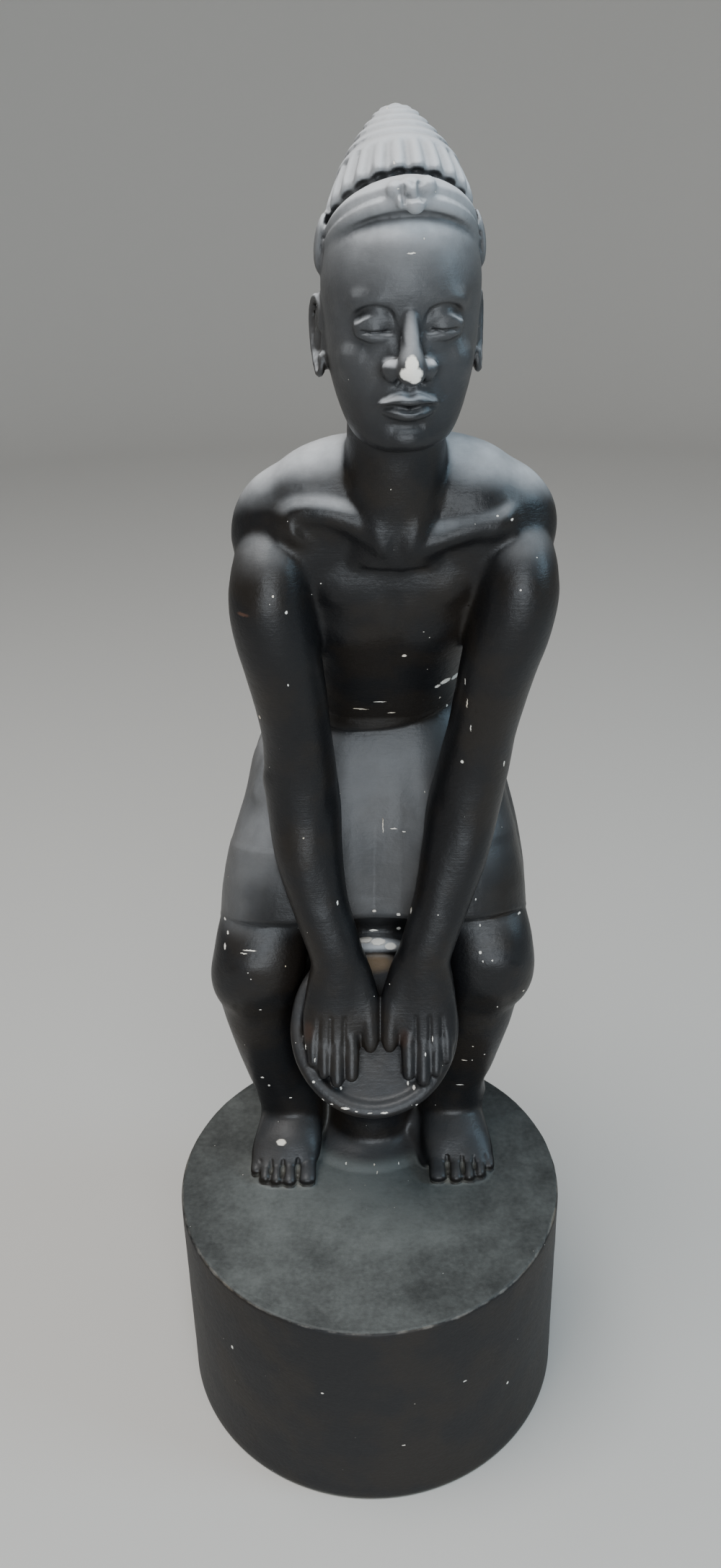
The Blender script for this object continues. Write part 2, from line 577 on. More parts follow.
TURNS = [
    (20.0, (-41.4, HAIRLINE + 18.4), (-0.2, 439.6)),
    (17.2, (-36.2, HAIRLINE + 20.6), (-0.8, 448)),
    (14.0, (-31.0, HAIRLINE + 22.6), (-1.8, 456)),
    (10.8, (-26.0, HAIRLINE + 24.4), (-3.0, 462.6)),
    (7.8, (-21.2, HAIRLINE + 26.0), (-4.6, 468)),
    (5.0, (-17.0, HAIRLINE + 27.4), (-6.6, 472)),
    (2.6, (-13.8, TIP - 0.8), (-8.6, TIP - 0.9)),
]
OVERLAP = 0.5
cone = [hoop(15, (-38, HAIRLINE + 16.4), (-3, 438))]
for low, high in zip(TURNS, TURNS[1:]):
    for share, swell in ((0.0, -0.5), (0.14, OVERLAP), (0.55, OVERLAP * 0.8)):
        wide, front, back = ([a + (b - a) * share for a, b in zip(*pair)] for pair in (
            ((low[0],), (high[0],)), (low[1], high[1]), (low[2], high[2])))
        front = (front[0] - swell * 0.6, front[1] + swell * 0.8)
        back = (back[0] + swell, back[1])
        cone.append(hoop(wide[0] + swell, front, back))
cone += [hoop(*TURNS[-1]), hoop(0.8, (-12, TIP), (-10.4, TIP))]
skin(carved, cone, sides=56, steps=4)
for line in both([
    [25.8, -30.4, HAIRLINE - 19, 0.8, 1.8],
    [26.4, -31, HAIRLINE - 16, 1.3, 3.4],
    [26.2, -31, HAIRLINE - 11, 1.5, 4.2],
    [25.2, -30.6, HAIRLINE - 6, 1.4, 4.0],
    [23.6, -30, HAIRLINE - 2, 1.1, 3.0],
]):
    skin(carved, line, sides=18)
KNOT = [
    ((-0.4, -60.8, HAIRLINE + 5.2), (4.4, 3.4, 3.8)),
    ((-5.0, -60.8, HAIRLINE + 5.4), (2.7, 2.5, 2.8)),
    ((4.4, -60.0, HAIRLINE + 6.0), (2.9, 2.7, 3.2)),
    ((0.8, -62.8, HAIRLINE + 1.6), (3.2, 2.4, 3.3)),
    ((-3.4, -63.1, HAIRLINE + 2.0), (1.6, 1.8, 2.2)),
]
for place, size in KNOT:
    ball(carved, place, size, lean=-30)
mark([(-2.8, -64, HAIRLINE + 7), (-3.0, -64, HAIRLINE + 4), (-2.2, -65, HAIRLINE + 1)], 0.8, 0.9)
mark([(2.2, -63, HAIRLINE + 8), (2.0, -64, HAIRLINE + 5), (3.6, -65, HAIRLINE + 2)], 0.8, 0.9)
mark([(-2.4, -65, HAIRLINE + 4), (-0.2, -65, HAIRLINE + 3), (2.2, -65, HAIRLINE + 3.6)], 0.7, 0.6)
mark([(-0.8, -64, HAIRLINE + 8), (0, -64, HAIRLINE + 6)], 0.6, 0.5)

# Drum held between the legs: a round head sunk inside a thick raised rim, sloping towards the
# front, over a body that narrows to a foot between the ankles. A web joins it to the thighs.
DRUM_RADIUS = 38.5
DRUM_RIM = 7
RIM_STRETCH = 1.06

inner = DRUM_RADIUS - DRUM_RIM
RIM_PROFILE = [
    (0, -14), (DRUM_RADIUS - 9, -14), (DRUM_RADIUS - 4, -8.6), (DRUM_RADIUS - 1.4, -4),
    (DRUM_RADIUS, -1), (DRUM_RADIUS - 0.2, 1), (DRUM_RADIUS - 1.4, 2.4), (DRUM_RADIUS - 3.6, 3),
    (inner + 1.4, 2.6), (inner + 0.4, 1.6), (inner - 0.4, 0.5), (inner - 2, 0), (0, 0.4),
]


def turned(profile, steps):
    """Turn a profile of radius and height round the Z axis into a closed shape."""
    shape = bmesh.new()
    points = [shape.verts.new((radius, 0, height)) for radius, height in profile]
    edges = [shape.edges.new(pair) for pair in zip(points, points[1:])]
    bmesh.ops.spin(shape, geom=points + edges, axis=TOP, cent=(0, 0, 0), angle=2 * pi,
                   steps=steps, use_merge=True)
    bmesh.ops.remove_doubles(shape, verts=shape.verts, dist=1e-4)
    return shape


rim = turned(RIM_PROFILE, 96)
slope = (Matrix.Translation(DRUM_HEAD) @ Matrix.Rotation(radians(DRUM_SLOPE), 4, "X")
         @ Matrix.Diagonal((1, RIM_STRETCH, 1, 1)))
bmesh.ops.transform(rim, matrix=slope, verts=rim.verts)
join(carved, rim)

skin(flesh, [
    [0, -10, 100, 33, 35, -50],
    [0, 3, 86, 34, 34, -44],
    [0, 17, 68, 30, 29, -36],
    [0, 29, 48, 24, 24, -26],
    [0, 36, 30, 22, 22, -16],
    [0, 38, 17, 23, 24, -8],
    [0, 39, 9, 25, 25, -3],
    [0, 39, 4.4, 29, 29, 0],
    [0, 39, 1.4, 36, 36, 0],
    [0, 39, -2, 46, 45, 0],
], sides=40)
skin(flesh, [
    [-24, 5, 124, 5, 5],
    [-11, 10, 132.5, 5.6, 5.6],
    [0, 11.5, 135, 5.8, 5.8],
    [11, 10, 133, 5.6, 5.6],
    [24, 5, 124, 5, 5],
])
skin(flesh, [
    [16, 34, 12, 7, 7],
    [24, 22, 6, 5, 5],
    [27, 12, 2.5, 3.4, 3.4],
    [28, 2, 0, 2.4, 2.4],
], sides=16)
skin(flesh, [
    [0, 30, HEM + 28, 44, 22, 10],
    [0, 30, HEM, 44, 20, 0],
    [0, 32, HEM - 30, 42, 17, -10],
    [0, 34, HEM - 60, 36, 14, -15],
    [0, 38, HEM - 95, 30, 11, -15],
], sides=36)

# Plinth: a thick drum-shaped block cast with the figure, its top a little uneven from the mould
# and its edges just broken. Only the slab under the feet is cast with them here; its plain side
# is drawn down from the slab's rim afterwards. The statue stands on the flat underside.
PLINTH_TOP_RADIUS = 95
PLINTH_FOOT_RADIUS = 96.2
PLINTH_HEIGHT = 117
PLINTH_EDGE = 1.6
PLINTH_SLAB = 12
PLINTH_RIM = 4
STAND_OFF = 1.7

edge = PLINTH_EDGE * (1 - cos(pi / 4))
plinth = turned([
    (0, -PLINTH_SLAB), (PLINTH_TOP_RADIUS, -PLINTH_SLAB), (PLINTH_TOP_RADIUS, -PLINTH_EDGE),
    (PLINTH_TOP_RADIUS - edge, -edge), (PLINTH_TOP_RADIUS - PLINTH_EDGE, 0), (0, 0),
], 180)
bmesh.ops.translate(plinth, verts=plinth.verts, vec=(-STAND_OFF, 0, 0))

# The casting, in plaster: the soft forms are blended into each other, the carved ones and the
# slab are joined to them, and the tool marks are cut. Then the head turns, and the whole figure
# bends a little to one side.
MM = 0.001
SOFT_GRAIN = 1.2
SOFT_ROUNDS = 30
GRAIN = 0.62
ROUNDS = 6
EASE = 0.5
MOST_TRIANGLES = 176000
STROKE_STEPS = 24
STROKE_ROOM = 3
LEAST_FACING = 0.05
FAINT_END = 0.15
END_SHARE = 0.2
FADE_FROM = 0.7
LEAN = 0.02
BEND = 6
BEND_HEIGHTS = (170, 330)
TURN_HEIGHTS = (CHIN - 25, CHIN + 2)


def cast(name, form, steps):
    """Turn a form into a mesh, through the modifiers named in steps."""
    mesh = bpy.data.meshes.new(name)
    form.to_mesh(mesh)
    form.free()
    blank = bpy.data.objects.new(name, mesh)
    bpy.context.collection.objects.link(blank)
    for kind, settings in steps:
        modifier = blank.modifiers.new(kind, kind)
        for key, value in settings.items():
            setattr(modifier, key, value)
    shaped = blank.evaluated_get(bpy.context.evaluated_depsgraph_get())
    result = bpy.data.meshes.new_from_object(shaped)
    bpy.data.objects.remove(blank)
    bpy.data.meshes.remove(mesh)
    return result


soft = cast("soft forms", flesh, [
    ("REMESH", {"mode": "VOXEL", "voxel_size": SOFT_GRAIN}),
    ("SMOOTH", {"factor": EASE, "iterations": SOFT_ROUNDS}),
])
carved.from_mesh(soft)
join(carved, plinth)
whole = cast("rough casting", carved, [
    ("REMESH", {"mode": "VOXEL", "voxel_size": GRAIN}),
    ("SMOOTH", {"factor": EASE, "iterations": ROUNDS}),
])

count = len(whole.vertices)
place = np.empty(count * 3)
whole.vertices.foreach_get("co", place)
place = place.reshape(count, 3)
normal = np.empty(count * 3)
whole.vertex_normals.foreach_get("vector", normal)
normal = normal.reshape(count, 3)
moved = place.copy()
for points, width, depth, facing, reach, taper in tool_marks:
    path = [along([tuple(point) for point in points], i / STROKE_STEPS)
            for i in range(STROKE_STEPS + 1)]
    path = np.array(path if len(points) > 2 else points)
    facing = np.array(facing)
    room = STROKE_ROOM * width
    flat = place - np.outer(place @ facing, facing)
    line = path - np.outer(path @ facing, facing)
    low, high = line.min(axis=0) - room, line.max(axis=0) + room
    near = np.flatnonzero(np.all((flat > low) & (flat < high), axis=1)
                          & (normal @ facing > LEAST_FACING))
    spots = flat[near]
    best = np.full(len(near), np.inf)
    ratio = np.zeros(len(near))
    level = np.zeros(len(near))
    for i, (a, b) in enumerate(zip(line, line[1:])):
        step = b - a
        share = np.clip(((spots - a) @ step) / max(step @ step, 1e-9), 0, 1)
        gap = np.linalg.norm(spots - a - share[:, None] * step, axis=1)
        closer = gap < best
        best[closer] = gap[closer]
        ratio[closer] = (i + share[closer]) / (len(line) - 1)
        level[closer] = (path[i] + share[closer, None] * (path[i + 1] - path[i])) @ facing
    strength = depth * np.exp(-(best / width) ** 2)
    if taper:
        ends = eased(ratio, 0, END_SHARE) * (1 - eased(ratio, 1 - END_SHARE, 1))
        strength *= FAINT_END + (1 - FAINT_END) * ends
    strength *= 1 - eased(abs(place[near] @ facing - level), FADE_FROM * reach, reach)
    moved[near] -= normal[near] * strength[:, None]

height = np.maximum(moved[:, 2], 0)
turn = radians(HEAD_TURN) * eased(moved[:, 2], *TURN_HEIGHTS)
back = moved[:, 1] - NECK_LINE
x = moved[:, 0] * np.cos(turn) - back * np.sin(turn)
y = moved[:, 0] * np.sin(turn) + back * np.cos(turn) + NECK_LINE
moved[:, 0] = x + STAND_OFF + LEAN * height + BEND * eased(height, *BEND_HEIGHTS)
moved[:, 1] = y
moved[:, 2] += PLINTH_HEIGHT
whole.vertices.foreach_set("co", (moved * MM).ravel())

cast_form = bmesh.new()
cast_form.from_mesh(whole)
triangles = sum(len(face.verts) - 2 for face in cast_form.faces)
rough = cast("rough drummer", cast_form, [
    ("DECIMATE", {"ratio": min(1.0, MOST_TRIANGLES / triangles)}),
])

# The plinth's side, in the same plaster: drawn down from a clean cut below the slab's rim to the
# broken edge that the statue stands on. Bubbles left inside the casting go, and the whole skin
# is made slightly uneven, like plaster out of a mould.
SIDE_STEPS = 22
FOOT_BREAK = 0.8
UNEVEN = 0.16
UNEVEN_SPAN = 14
FINE_SPAN = 0.35 * UNEVEN_SPAN
FINE_SHARE = 0.4
FLAT_UNDER = 2
drummer_form = bmesh.new()
drummer_form.from_mesh(rough)
crown = max(drummer_form.verts, key=lambda vert: vert.co.z)
outer = {crown}
waiting = [crown]
while waiting:
    for edge in waiting.pop().link_edges:
        fresh = [vert for vert in edge.verts if vert not in outer]
        outer.update(fresh)
        waiting += fresh
bubbles = [vert for vert in drummer_form.verts if vert not in outer]
bmesh.ops.delete(drummer_form, geom=bubbles, context="VERTS")
level = (PLINTH_HEIGHT - PLINTH_RIM) * MM
bmesh.ops.bisect_plane(drummer_form, geom=drummer_form.verts[:] + drummer_form.edges[:]
                       + drummer_form.faces[:], dist=1e-7, plane_co=(0, 0, level),
                       plane_no=TOP, clear_inner=True)
rim_edges = [edge for edge in drummer_form.edges if edge.is_boundary]
rim_verts = {vert for edge in rim_edges for vert in edge.verts}


def set_ring(verts, radius, z):
    """Put a ring of vertices on an exact circle about the plinth's axis."""
    for vert in verts:
        around = Vector((vert.co.x, vert.co.y)).normalized() * radius * MM
        vert.co = (around.x, around.y, z * MM)


def side_radius(z):
    """The plinth's radius at a height: its side widens a little towards the floor."""
    return PLINTH_FOOT_RADIUS + (PLINTH_TOP_RADIUS - PLINTH_FOOT_RADIUS) * z / PLINTH_HEIGHT


set_ring(rim_verts, side_radius(PLINTH_HEIGHT - PLINTH_RIM), PLINTH_HEIGHT - PLINTH_RIM)
heights = [FOOT_BREAK + (PLINTH_HEIGHT - PLINTH_RIM - FOOT_BREAK) * (1 - i / SIDE_STEPS)
           for i in range(1, SIDE_STEPS + 1)]
for z, inset in [(z, 0) for z in heights] + [(0, FOOT_BREAK)]:
    grown = bmesh.ops.extrude_edge_only(drummer_form, edges=rim_edges)["geom"]
    rim_edges = [part for part in grown if isinstance(part, bmesh.types.BMEdge)]
    rim_verts = [part for part in grown if isinstance(part, bmesh.types.BMVert)]
    set_ring(rim_verts, side_radius(z) - inset, z)
bmesh.ops.contextual_create(drummer_form, geom=rim_edges)
drummer_form.normal_update()
for vert in drummer_form.verts:
    if vert.co.z > FLAT_UNDER * MM:
        wave = noise.noise(vert.co / (UNEVEN_SPAN * MM))
        wave += FINE_SHARE * noise.noise(vert.co / (FINE_SPAN * MM))
        vert.co += vert.normal * (wave - 0.5) * UNEVEN * MM
bmesh.ops.recalc_face_normals(drummer_form, faces=drummer_form.faces)
drummer_mesh = bpy.data.meshes.new("drummer")
drummer_form.to_mesh(drummer_mesh)
drummer_form.free()
drummer = bpy.data.objects.new("drummer", drummer_mesh)
bpy.context.collection.objects.link(drummer)
for face in drummer_mesh.polygons:
    face.use_smooth = face.normal.z > -0.999

# Paint: satin black over white plaster, a little brown in places. Grey dust lies as a film on what
# faces up and in the corners by the feet, and chips, scratches and rubbed edges show the plaster.
paint = bpy.data.materials.new("black paint")
paint.use_nodes = True
tree = paint.node_tree
shader = tree.nodes["Principled BSDF"]


def put(kind, feeds=None, **settings):
    """Add a shader node, with its settings and what feeds its sockets."""
    made = tree.nodes.new("ShaderNode" + kind)
    for key, value in settings.items():
        setattr(made, key, value)
    for socket, feed in (feeds or {}).items():
        if isinstance(feed, bpy.types.NodeSocket):
            tree.links.new(feed, made.inputs[socket])
        else:
            made.inputs[socket].default_value = feed
    return made


def sums(operation, *values):
    """Work out one number from others."""
    return put("Math", dict(enumerate(values)), operation=operation).outputs[0]


def places(operation, *values):
    """Work out one place from others."""
    return put("VectorMath", dict(enumerate(values)), operation=operation).outputs[0]


def between(value, low, high):
    """Go smoothly from 0 to 1 as a number passes from low to high, which may be the smaller."""
    return put("MapRange", {0: value, 1: low, 2: high}, interpolation_type="SMOOTHSTEP").outputs[0]


def tinted(share, first, second):
    """Mix two colours."""
    return put("Mix", {0: share, 6: first, 7: second}, data_type="RGBA").outputs[2]


def grain(scale, detail=3.0, rough=0.55, at=None):
    """Give a noise pattern, with scale in features per millimetre."""
    return put("TexNoise", {"Vector": at or here, "Scale": scale, "Detail": detail,
                            "Roughness": rough}).outputs["Fac"]


def how_far(place, size):
    """Tell how far off a place is, in shares of its size, with a ragged outline."""
    shares = places("MULTIPLY_ADD", ragged, [1 / s for s in size],
                    [-p / s for p, s in zip(place, size)])
    return put("VectorMath", {0: shares}, operation="LENGTH").outputs["Value"]


here = places("MULTIPLY", put("TexCoord").outputs["Object"], (1 / MM, 1 / MM, 1 / MM))
RAGGED = 0.9
WANDER_SCALE = 0.9
wander = put("TexNoise", {"Vector": here, "Scale": WANDER_SCALE, "Detail": 3.0}).outputs["Color"]
ragged = places("MULTIPLY_ADD", wander, (RAGGED, RAGGED, RAGGED), here)
ragged = places("SUBTRACT", ragged, (RAGGED / 2, RAGGED / 2, RAGGED / 2))
split = put("SeparateXYZ", {0: here}).outputs
facing_up = put("SeparateXYZ", {0: put("NewGeometry").outputs["Normal"]}).outputs[2]
broad = grain(0.03, 4.0)
patches = grain(0.09, 5.0, 0.6)
fine = grain(0.6)
grit = grain(2.6, 2.0)
brushed = grain(1.0, 3.0, at=places("MULTIPLY", here, (0.1, 0.5, 1.5)))

BLACK = (0.0048, 0.0048, 0.0055, 1)
BROWN_BLACK = (0.0095, 0.0074, 0.0058, 1)
DUST = (0.52, 0.535, 0.55, 1)
STONE_DARK = (0.026, 0.028, 0.027, 1)
STONE_DUST = (0.125, 0.134, 0.128, 1)
CORNER_DUST = (0.24, 0.24, 0.21, 1)
PLASTER = (0.76, 0.73, 0.66, 1)
AGED_PLASTER = (0.62, 0.5, 0.34, 1)
TAN = (0.26, 0.17, 0.085, 1)
RUST = (0.06, 0.03, 0.02, 1)

# Dust on what faces up, by height: from, to and how much more. Even dust lies on all that stands
# at that height: face, brow, headband. The lap ends under the waist, at the arms and at one side.
LEAST_DUST = 0.07
DUST_BY_HEIGHT = [(262, 282, 0.22), (448, 474, 0.62), (548, 560, 0.5)]
EVEN_DUST = [(480, 530, 0.07), (538, 556, 0.14), (556, 565, 0.26)]
LAP_ENDS = [(2, 362, 342), (1, -9, 2), (0, 64, 42)]
LAP_FROM = (262, 276)
LAP_DUST = 0.12
DUSTY_SLOPES = (0.2, 0.98)
MOST_DUST = 0.95
GROOVE_REACH = 0.0035
GROOVES = (0.68, 0.99)
GROOVE_DUST = 0.12
PLINTH_FADE = (PLINTH_HEIGHT + 0.6, PLINTH_HEIGHT + 3.5)

colour = tinted(between(broad, 0.42, 0.6), BLACK, BROWN_BLACK)
above_plinth = between(split[2], *PLINTH_FADE)
amount = LEAST_DUST
for low, high, more in DUST_BY_HEIGHT:
    amount = sums("MULTIPLY_ADD", between(split[2], low, high), more, amount)
open_air = put("AmbientOcclusion", {"Distance": GROOVE_REACH}, samples=6).outputs["AO"]
film = sums("MULTIPLY", between(facing_up, *DUSTY_SLOPES), sums("MULTIPLY", amount, above_plinth))
lap = between(split[2], *LAP_FROM)
for axis, low, high in LAP_ENDS:
    lap = sums("MULTIPLY", lap, between(split[axis], low, high))
film = sums("MULTIPLY_ADD", lap, LAP_DUST, film)
for low, high, more in EVEN_DUST:
    film = sums("MULTIPLY_ADD", between(split[2], low, high), more, film)
film = sums("MULTIPLY", film, sums("MULTIPLY_ADD", patches, 0.9, 0.55))
film = sums("MINIMUM", film, MOST_DUST)
film = sums("MULTIPLY", film, sums("MULTIPLY_ADD", between(open_air, *GROOVES), 1 - GROOVE_DUST,
                                   GROOVE_DUST))
colour = tinted(film, colour, DUST)
top_face = sums("MULTIPLY", between(facing_up, 0.7, 0.95), sums("SUBTRACT", 1.0, above_plinth))
outward = put("VectorMath", {0: places("MULTIPLY", here, (1, 1, 0))}, operation="LENGTH")
outward = outward.outputs["Value"]
stone = sums("MULTIPLY_ADD", broad, 1.2, sums("MULTIPLY", patches, 0.45))
stone = sums("MULTIPLY_ADD", grain(0.4, 6.0, 0.65), 0.65, stone)
stone = sums("SUBTRACT", stone, sums("MULTIPLY", outward, 0.0065))
stone = tinted(between(stone, 0.15, 1.3), STONE_DARK, STONE_DUST)
colour = tinted(top_face, colour, stone)
corner = sums("SUBTRACT", 1.0, open_air)
low_down = sums("SUBTRACT", 1.0, between(split[2], 118, 150))
corner = sums("MULTIPLY", between(corner, 0.28, 0.7), low_down)
colour = tinted(sums("MULTIPLY", corner, 0.7), colour, CORNER_DUST)

# Stains: colour, place, reach and strength
STAIN_EDGE = (0.3, 1.1)
STAINS = [
    (DUST, (4, 4, 255.5), (15, 6, 4.5), 0.7),
    (TAN, (5, 0, 247.5), (11, 6, 5), 0.55),
    (RUST, (-26, -25, 229), (4, 4, 7), 0.3),
    (RUST, (17, -27, 226), (4, 4, 6), 0.25),
    (RUST, (-41.4, -35.9, 430.2), (4, 3, 0.9), 0.9),
]
for tint, place, size, strength in STAINS:
    share = sums("SUBTRACT", 1.0, between(how_far(place, size), *STAIN_EDGE))
    colour = tinted(sums("MULTIPLY", share, strength), colour, tint)

# Chips and scratches: x, y, z, and reach to the side and upwards. Bare plaster shows within half
# of that reach, and its edge is ragged.
CHIP_EDGE = (0.5, 0.74)
CHIP_THROUGH = 1.3
FAR_OFF = 9.0
CHIPS = [
    # headdress and face
    (18.3, -72.6, 521.6, 3.4, 5.6), (18.1, -71.8, 518.4, 5.8, 3.4), (19.2, -70.8, 516.9, 3.0, 2.4),
    (13.1, -17.0, 589.8, 0.7, 0.6), (14.1, -50.5, 575.2, 0.4, 0.9),
    (18.6, -63.2, 551.3, 2.1, 0.4), (14.7, -63.3, 568.5, 0.5, 0.3), (22.4, -61.3, 555.2, 0.4, 0.4),
    # shoulders and arms
    (-25.4, -37.3, 431.1, 0.8, 1.0), (-29.9, -38.4, 437.6, 0.6, 0.7),
    (-26.3, -32.5, 400.6, 0.5, 0.8), (-39.0, -19.6, 381.8, 0.6, 1.6),
    (-24.1, -18.7, 325.8, 0.7, 0.6), (50.2, -33.5, 463.7, 0.8, 0.6), (55.5, -32.2, 461.9, 0.9, 0.7),
    (58.7, -38.5, 438.0, 0.6, 0.6), (64.7, -34.1, 448.4, 0.4, 0.4), (41.0, -24.0, 396.8, 0.3, 2.2),
    (42.0, -23.8, 387.6, 0.3, 3.4), (43.8, -22.7, 376.3, 0.3, 2.6), (41.1, -18.3, 359.5, 1.0, 1.2),
    (58.3, -15.5, 356.7, 0.4, 2.7), (49.5, -6.2, 285.4, 0.5, 0.9), (31.9, -22.3, 288.4, 0.5, 0.5),
    (-11.0, -18.9, 293.5, 0.6, 1.5), (20.7, -13.3, 285.2, 0.5, 3.4),
    # chest, waist, lap and hem
    (-12.8, -27.1, 438.3, 0.4, 0.5), (18.1, -14.8, 404.3, 1.4, 1.4), (40.3, 10.2, 384.8, 3.2, 3.8),
    (36.2, 7.5, 383.6, 4.2, 3.0), (32.7, 7.5, 381.4, 2.0, 1.8), (34.4, 17.5, 372.0, 0.6, 1.4),
    (38.4, 29.2, 362.9, 0.6, 0.9), (8.9, 8.6, 374.6, 4.2, 0.5), (0.7, 13.3, 369.4, 5.2, 0.5),
    (13.8, 14.6, 366.8, 2.7, 0.5), (9.4, 9.1, 314.9, 0.4, 5.9), (14.1, 8.1, 313.9, 2.5, 0.5),
    (18.5, 6.8, 313.0, 1.3, 0.5), (27.8, 11.0, 330.2, 0.5, 0.6), (4.9, 3.2, 274.2, 1.6, 0.9),
    (15.8, 0.4, 273.8, 1.5, 1.4), (70.6, 4.9, 270.1, 1.6, 0.7), (-63.0, 7.0, 269.2, 1.6, 0.6),
    # drum
    (0.5, 5.4, 257.2, 5.2, 2.3), (6.4, 4.4, 256.4, 5.2, 2.2), (12.0, 3.2, 254.7, 4.2, 2.3),
    (4.5, 9.6, 259.2, 3.3, 0.9), (16.1, 10.6, 259.3, 1.5, 1.2), (-24.0, -33.8, 207.8, 1.0, 0.8),
    (-20.0, -37.1, 200.1, 1.0, 1.4), (-16.1, -39.3, 199.5, 1.3, 0.6),
    (-10.0, -41.0, 198.4, 3.0, 0.9), (-5.0, -42.0, 197.2, 1.1, 0.5), (0.9, -42.4, 196.6, 1.9, 0.4),
    (7.4, -42.6, 196.6, 2.6, 0.5), (22.0, -39.4, 198.0, 0.8, 1.1), (-11.8, -33.8, 203.7, 0.8, 1.0),
    (18.4, -32.7, 204.8, 0.8, 1.5), (21.0, -34.6, 203.9, 1.1, 1.2),
    (-23.1, -30.6, 217.6, 0.4, 1.7), (-27.3, -26.2, 221.4, 0.4, 2.4),
    (29.6, -27.9, 226.1, 0.4, 2.3), (26.3, -31.2, 220.0, 0.5, 1.5),
    # legs
    (-51.5, -6.0, 260.5, 4.9, 0.5), (-54.2, -6.1, 259.1, 2.6, 0.4), (-63.0, -0.9, 259.6, 0.7, 2.6),
    (-61.5, 1.4, 265.5, 0.8, 1.1), (-52.5, -9.4, 250.7, 0.5, 0.5), (-51.4, -9.5, 247.2, 0.5, 0.6),
    (-35.8, -6.0, 251.4, 0.5, 0.6), (-48.7, -5.1, 226.4, 1.0, 0.8), (-48.9, 11.6, 165.9, 0.9, 1.2),
    (-51.7, 9.6, 172.9, 1.4, 1.0), (-38.9, 15.9, 153.7, 1.1, 0.7), (52.1, -7.0, 257.3, 1.0, 1.3),
    (53.3, -8.4, 253.5, 0.6, 0.7), (57.5, -8.7, 254.0, 0.6, 0.7), (61.3, -3.9, 224.1, 0.5, 0.8),
    (73.2, -2.7, 232.0, 0.8, 0.8), (51.2, 2.8, 195.2, 0.6, 0.6), (51.4, 5.6, 184.3, 0.6, 0.6),
    (57.2, 5.2, 188.1, 0.6, 0.6), (47.6, 6.2, 183.9, 2.1, 0.5), (46.4, 12.9, 162.4, 3.1, 0.6),
    (52.2, -2.3, 268.9, 0.6, 1.0),
    # feet and plinth
    (-44.2, 6.2, 133.0, 3.9, 2.3), (-11.7, 5.6, 118.2, 0.6, 0.6), (2.7, 3.8, 118.6, 0.5, 0.6),
    (15.2, 5.0, 118.0, 0.5, 0.6), (4.0, -0.1, 117.1, 0.5, 0.6), (25.0, 16.2, 121.6, 0.6, 1.4),
    (42.3, -85.5, 71.5, 1.5, 0.6), (-66.9, -67.9, 75.5, 0.9, 1.7), (-23.7, -92.3, 74.5, 1.0, 0.8),
    (64.6, -70.4, 48.8, 0.9, 1.3), (13.4, -94.8, 39.2, 1.4, 0.6),
]
nearest = FAR_OFF
for x, y, z, wide, tall in CHIPS:
    through = CHIP_THROUGH + (wide + tall) / 4
    nearest = sums("MINIMUM", nearest, how_far((x, y, z), (wide, through, tall)))
chip = sums("SUBTRACT", 1.0, between(nearest, *CHIP_EDGE))
# Specks all over, far apart, and paint worn thin along the plinth's top edge
SPECK_SCALE = 0.14
SPECK_EDGE = (0.022, 0.038)
SPECKS_KEPT = (0.5, 0.52)
RUB_IN = 0.5
RUB_EDGE = (2.2, 3.4)
RUB_SHOWS = 0.12
speck = put("TexVoronoi", {"Vector": ragged, "Scale": SPECK_SCALE})
seldom = put("SeparateColor", {0: speck.outputs["Color"]}).outputs[0]
tiny = sums("SUBTRACT", 1.0, between(speck.outputs["Distance"], *SPECK_EDGE))
chip = sums("MAXIMUM", chip, sums("MULTIPLY", tiny, between(seldom, *SPECKS_KEPT)))
rub = sums("ADD", sums("ABSOLUTE", sums("SUBTRACT", outward, PLINTH_TOP_RADIUS - RUB_IN)),
           sums("ABSOLUTE", sums("SUBTRACT", split[2], PLINTH_HEIGHT - RUB_IN)))
rub = sums("SUBTRACT", 1.0, between(sums("MULTIPLY_ADD", patches, 5.0, rub), *RUB_EDGE))
chip = sums("MAXIMUM", chip, sums("MULTIPLY", rub, RUB_SHOWS))
colour = tinted(chip, colour, tinted(between(broad, 0.5, 0.7), PLASTER, AGED_PLASTER))

# Roughness: satin paint, rougher on the plinth, under dust and in the chips
SATIN = 0.32
PLINTH_ROUGHER = 0.16
DUST_ROUGHNESS = 0.37
PLASTER_ROUGHNESS = 0.9
CHIP_SUNK = 0.3
tree.links.new(colour, shader.inputs["Base Color"])
shader.inputs["Specular IOR Level"].default_value = 0.3
rough_look = sums("MULTIPLY_ADD", fine, 0.14, SATIN)
rough_look = sums("MULTIPLY_ADD", sums("SUBTRACT", 1.0, above_plinth), PLINTH_ROUGHER, rough_look)
rough_look = sums("MAXIMUM", rough_look, sums("MULTIPLY_ADD", film, 0.5, DUST_ROUGHNESS))
rough_look = sums("MAXIMUM", rough_look, sums("MULTIPLY", chip, PLASTER_ROUGHNESS))
tree.links.new(rough_look, shader.inputs["Roughness"])
relief = sums("MULTIPLY_ADD", patches, 0.35, sums("MULTIPLY", fine, 0.1))
relief = sums("MULTIPLY_ADD", grit, 0.035, relief)
relief = sums("MULTIPLY_ADD", brushed, 0.07, relief)
relief = sums("SUBTRACT", relief, sums("MULTIPLY", chip, CHIP_SUNK))
tree.links.new(put("Bump", {"Height": relief, "Distance": MM, "Strength": 1.0}).outputs[0],
               shader.inputs["Normal"])

drummer_mesh.materials.clear()
drummer_mesh.materials.append(paint)
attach(drummer, "root")
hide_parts("drummer_figure")

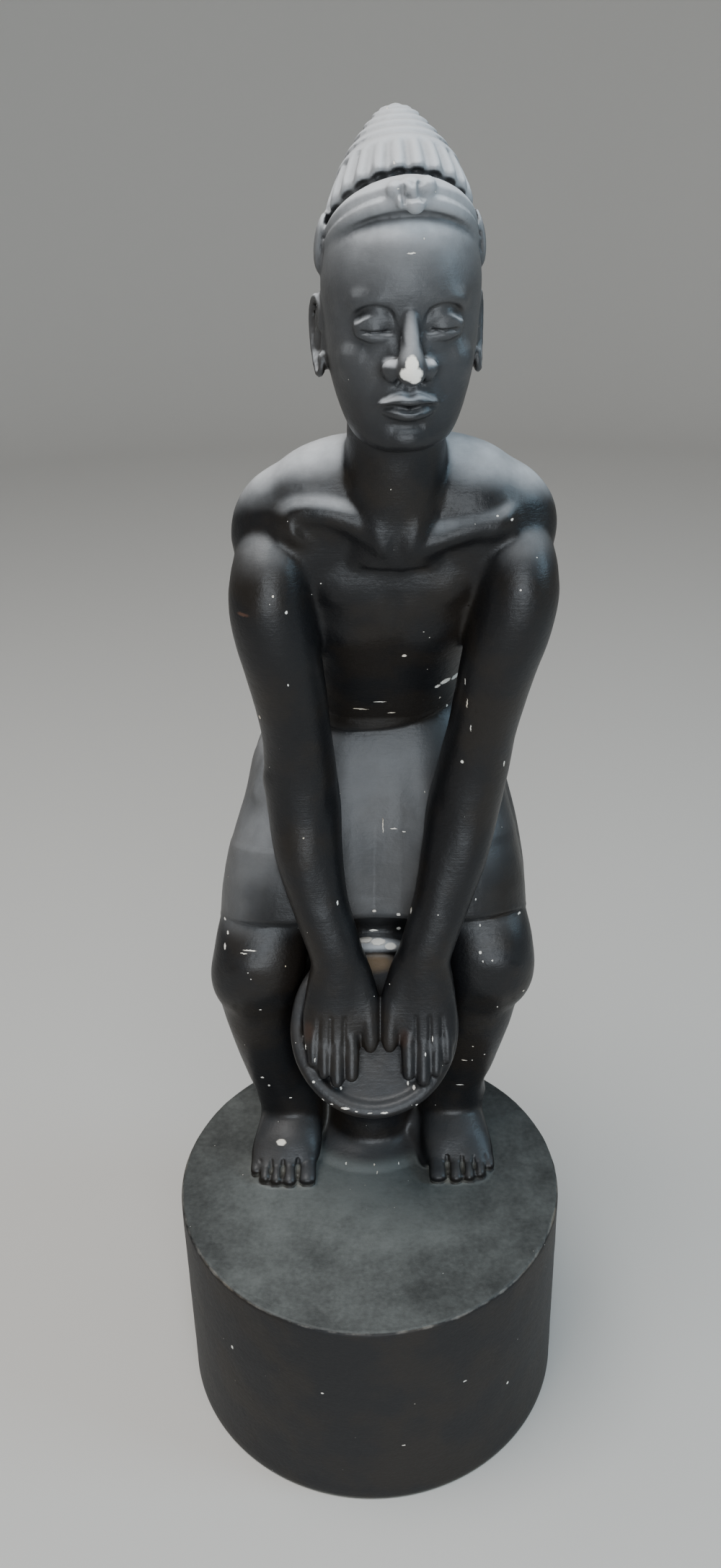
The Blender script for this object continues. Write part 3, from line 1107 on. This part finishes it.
# Studio: a plain pale floor that sweeps up all round, far behind the statue. Soft light falls from
# above and from the front, with a small cooler lamp at the viewer's right.
SWEEP_START = 2200
SWEEP = 900
SWEEP_TOP = 2400
SWEEP_STEP = 5
AIM_HEIGHT = 0.35
PALE = (0.56, 0.545, 0.515, 1)
SKY = (0.95, 0.97, 1.0, 1)
SKY_STRENGTH = 0.34
sweep = [(SWEEP_START + SWEEP * sin(radians(turn)), SWEEP * (1 - cos(radians(turn))))
         for turn in range(0, 91, SWEEP_STEP)]
ground = turned([(0, 0), *sweep, (SWEEP_START + SWEEP, SWEEP_TOP)], 96)
bmesh.ops.scale(ground, verts=ground.verts, vec=(MM, MM, MM))
bmesh.ops.recalc_face_normals(ground, faces=ground.faces)
bmesh.ops.reverse_faces(ground, faces=ground.faces)
floor_mesh = bpy.data.meshes.new("floor")
ground.to_mesh(floor_mesh)
ground.free()
for face in floor_mesh.polygons:
    face.use_smooth = True
floor = bpy.data.objects.new("floor", floor_mesh)
bpy.context.collection.objects.link(floor)
pale = bpy.data.materials.new("pale floor")
pale.use_nodes = True
floor_shader = pale.node_tree.nodes["Principled BSDF"]
floor_shader.inputs["Base Color"].default_value = PALE
floor_shader.inputs["Roughness"].default_value = 0.85
floor_mesh.materials.append(pale)

world = bpy.data.worlds.new("studio")
bpy.context.scene.world = world
world.use_nodes = True
sky = world.node_tree.nodes["Background"]
sky.inputs["Color"].default_value = SKY
sky.inputs["Strength"].default_value = SKY_STRENGTH

LIGHTS = [
    ("key", (-0.35, -0.25, 1.7), 0.9, 23, (1.0, 0.98, 0.96)),
    ("front", (0.1, -1.9, 0.5), 1.2, 38, (0.86, 0.93, 1.0)),
    ("fill", (1.25, -0.35, 0.9), 0.5, 8, (0.5, 0.78, 1.0)),
]
for name, spot, size, power, tint in LIGHTS:
    lamp = bpy.data.lights.new(name, "AREA")
    lamp.size = size
    lamp.energy = power
    lamp.color = tint
    holder = bpy.data.objects.new(name, lamp)
    holder.location = spot
    aim = Vector((0, 0, AIM_HEIGHT)) - Vector(spot)
    holder.rotation_euler = aim.to_track_quat("-Z", "Y").to_euler()
    bpy.context.collection.objects.link(holder)

# Camera: a phone held in front of the head and looking down on the statue, rolled a little to
# one side. Its place comes from the plinth's ellipse and edges in the photo.
CAMERA_BACK = 0.455
CAMERA_HEIGHT = 0.5816
CAMERA_PITCH = 27.9
CAMERA_ROLL = -1.28
CAMERA_LENS = 27.98
viewer = bpy.data.cameras.new("camera")
viewer.lens = CAMERA_LENS
viewer.sensor_width = 36
viewer.sensor_fit = "AUTO"
viewer.clip_start = 0.01
camera = bpy.data.objects.new("camera", viewer)
camera.location = (0, -CAMERA_BACK, CAMERA_HEIGHT)
tilt = Matrix.Rotation(radians(90 - CAMERA_PITCH), 4, "X")
roll = Matrix.Rotation(radians(CAMERA_ROLL), 4, "Z")
camera.rotation_euler = (tilt @ roll).to_euler()
bpy.context.collection.objects.link(camera)
bpy.context.scene.camera = camera
